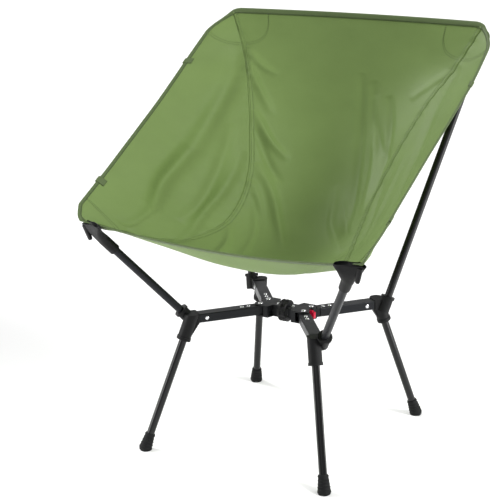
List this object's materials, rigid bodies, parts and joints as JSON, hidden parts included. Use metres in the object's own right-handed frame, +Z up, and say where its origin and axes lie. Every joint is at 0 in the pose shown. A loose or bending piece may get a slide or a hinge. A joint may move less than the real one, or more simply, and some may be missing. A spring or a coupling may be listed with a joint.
{
  "type": "folding camp chair",
  "caption": "Low folding camp chair with a hung fabric sling, raked tube poles, a folding cross hub with a locking knob, and pull-out legs on rubber feet.",
  "frame": {"origin": "middle of the chair on the floor, under the centre of its box", "axes": "+Z up, the sitter faces -Y, +X is to the right seen from the front; the chair is mirror-symmetric about x = 0"},
  "size_m": [0.5376, 0.4752, 0.679],
  "materials": {
    "fabric": "woven polyester, matt",
    "pole_gloss": "gloss black anodised",
    "pole_satin": "satin dark anodised",
    "arm_metal": "satin grey anodised",
    "heel_metal": "die cast, satin",
    "hub_metal": "satin anodised",
    "rivet_steel": "bright",
    "moulded_black": "fine moulded texture",
    "foot_rubber": "matt ribbed",
    "release_red": "moulded red",
    "ferrule_metal": "plain",
    "elastic_cord": "braided cover"
  },
  "bodies": {
    "hub": {"hub_spindle": "rivet_steel", "thrust_washers": "rivet_steel", "pivot_pins": "rivet_steel", "hub_rivets": "rivet_steel", "yoke_left": "hub_metal", "yoke_right": "hub_metal", "end_block_left": "hub_metal", "end_block_right": "hub_metal", "button_spring_left": "rivet_steel", "button_spring_right": "rivet_steel"},
    "knob": {"lock_knob": "moulded_black"},
    "arm_assembly_front_right": {"arm_front_right": "arm_metal", "arm_heel_front_right": "heel_metal", "arm_rivets_front_right": "rivet_steel", "bracket_front_right": "moulded_black", "front_pole_right": "pole_satin", "paddle_right": "moulded_black"},
    "leg_assembly_front_right": {"leg_front_right": "pole_gloss", "foot_front_right": "foot_rubber"},
    "arm_assembly_back_right": {"arm_back_right": "arm_metal", "arm_heel_back_right": "heel_metal", "arm_rivets_back_right": "rivet_steel", "bracket_back_right": "moulded_black", "back_pole_lower_right": "pole_gloss", "back_pole_upper_right": "pole_gloss", "pole_ferrule_right": "ferrule_metal", "pole_cap_right": "moulded_black", "pole_cord_right": "elastic_cord"},
    "leg_assembly_back_right": {"leg_back_right": "pole_gloss", "foot_back_right": "foot_rubber"},
    "arm_assembly_front_left": {"arm_front_left": "arm_metal", "arm_heel_front_left": "heel_metal", "arm_rivets_front_left": "rivet_steel", "bracket_front_left": "moulded_black", "front_pole_left": "pole_satin", "paddle_left": "moulded_black"},
    "leg_assembly_front_left": {"leg_front_left": "pole_gloss", "foot_front_left": "foot_rubber"},
    "arm_assembly_back_left": {"arm_back_left": "arm_metal", "arm_heel_back_left": "heel_metal", "arm_rivets_back_left": "rivet_steel", "bracket_back_left": "moulded_black", "back_pole_lower_left": "pole_gloss", "back_pole_upper_left": "pole_gloss", "pole_ferrule_left": "ferrule_metal", "pole_cap_left": "moulded_black", "pole_cord_left": "elastic_cord"},
    "leg_assembly_back_left": {"leg_back_left": "pole_gloss", "foot_back_left": "foot_rubber"},
    "button_left": {"release_button_left": "release_red"},
    "button_right": {"release_button_right": "release_red"},
    "sling": {"seat_panel": "fabric", "side_panel_left": "fabric", "side_panel_right": "fabric", "back_pocket_left": "fabric", "back_pocket_right": "fabric", "front_pocket_left": "fabric", "front_pocket_right": "fabric"}
  },
  "joints": [
    {"name": "frame_fold", "type": "hinge", "parent": "hub", "child": "arm_assembly_front_right", "pos_m": [0.041, -0.03259, 0.217], "axis": [0, 0, 1], "range_deg": [0, 45], "deforming": ["seat_panel", "side_panel_left", "side_panel_right", "back_pocket_left", "back_pocket_right", "front_pocket_left", "front_pocket_right"]},
    {"name": "fold_back_right", "type": "hinge", "parent": "hub", "child": "arm_assembly_back_right", "pos_m": [0.041, -0.00659, 0.217], "axis": [0, 0, 1], "range_deg": [-45, 0]},
    {"name": "fold_front_left", "type": "hinge", "parent": "hub", "child": "arm_assembly_front_left", "pos_m": [-0.041, -0.03259, 0.217], "axis": [0, 0, 1], "range_deg": [-45, 0]},
    {"name": "fold_back_left", "type": "hinge", "parent": "hub", "child": "arm_assembly_back_left", "pos_m": [-0.041, -0.00659, 0.217], "axis": [0, 0, 1], "range_deg": [0, 45]},
    {"name": "leg_pull_front_right", "type": "slide", "parent": "arm_assembly_front_right", "child": "leg_assembly_front_right", "axis": [0.2296, -0.2836, -0.9311], "range_m": [0, 0.04]},
    {"name": "leg_pull_back_right", "type": "slide", "parent": "arm_assembly_back_right", "child": "leg_assembly_back_right", "axis": [0.2111, 0.2607, -0.9421], "range_m": [0, 0.04]},
    {"name": "leg_pull_front_left", "type": "slide", "parent": "arm_assembly_front_left", "child": "leg_assembly_front_left", "axis": [-0.2296, -0.2836, -0.9311], "range_m": [0, 0.04]},
    {"name": "leg_pull_back_left", "type": "slide", "parent": "arm_assembly_back_left", "child": "leg_assembly_back_left", "axis": [-0.2111, 0.2607, -0.9421], "range_m": [0, 0.04]},
    {"name": "knob_turn", "type": "hinge", "parent": "hub", "child": "knob", "pos_m": [0, -0.01959, 0.217], "axis": [1, 0, 0], "range_deg": [0, 90]},
    {"name": "button_press_left", "type": "slide", "parent": "hub", "child": "button_left", "axis": [1, 0, 0], "range_m": [0, 0.004], "stiffness_N_per_m": 300, "springref_m": -0.002, "deforming": ["button_spring_left"]},
    {"name": "button_press_right", "type": "slide", "parent": "hub", "child": "button_right", "axis": [-1, 0, 0], "range_m": [0, 0.004], "stiffness_N_per_m": 300, "springref_m": -0.002, "deforming": ["button_spring_right"]},
    {"name": "sling_lift", "type": "slide", "parent": "hub", "child": "sling", "axis": [0, 0, 1], "range_m": [0, 0.25], "deforming": ["seat_panel", "side_panel_left", "side_panel_right", "back_pocket_left", "back_pocket_right", "front_pocket_left", "front_pocket_right"]}
  ],
  "couplings": [
    {"joint": "fold_back_right", "follows": "frame_fold", "ratio": -1},
    {"joint": "fold_front_left", "follows": "frame_fold", "ratio": -1},
    {"joint": "fold_back_left", "follows": "frame_fold", "ratio": 1}
  ]
}
